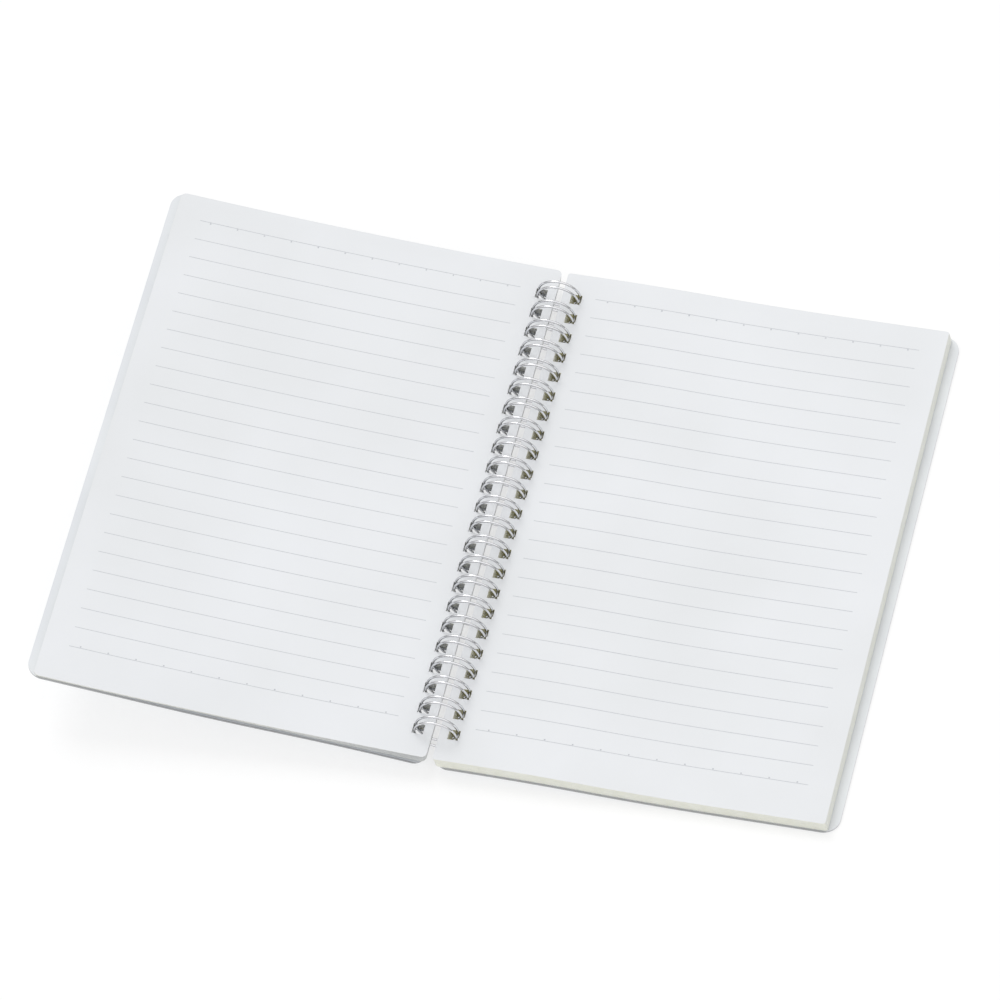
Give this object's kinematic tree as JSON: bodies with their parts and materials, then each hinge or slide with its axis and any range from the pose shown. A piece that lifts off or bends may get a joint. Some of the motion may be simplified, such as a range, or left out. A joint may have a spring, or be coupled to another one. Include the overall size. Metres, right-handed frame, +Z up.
{
  "type": "open spiral notebook",
  "caption": "Ruled notebook lying open on its twin-loop wire, with thin frosted plastic covers, a few leaves turned to the left and a thick stack of leaves on the right.",
  "frame": {"origin": "on the table under the middle of the wire binding, midway between the two covers, with the front half raised by 9 degrees", "axes": "+Y runs along the spine towards the heads of the pages, +X points to the unturned right half, +Z is up"},
  "size_m": [0.2897, 0.2092, 0.0234],
  "materials": {
    "cover_plastic": "frosted translucent polypropylene sheet",
    "turned_paper": "smooth white writing paper with fine grey rules",
    "stack_paper": "smooth white writing paper with fine grey rules and cream cut edges",
    "wire": "bright nickel-plated steel wire"
  },
  "bodies": {
    "binding": {"wire_binding": "wire"},
    "front_half": {"front_cover": "cover_plastic", "turned_leaves": "turned_paper"},
    "back_half": {"back_cover": "cover_plastic", "remaining_leaves": "stack_paper"}
  },
  "joints": [
    {"name": "front_cover_turn", "type": "hinge", "parent": "binding", "child": "front_half", "pos_m": [0, 0, 0.00805], "axis": [0, 1, 0], "range_deg": [-37, 167]},
    {"name": "back_cover_turn", "type": "hinge", "parent": "binding", "child": "back_half", "pos_m": [0, 0, 0.00805], "axis": [0, 1, 0], "range_deg": [-167, 0]}
  ]
}
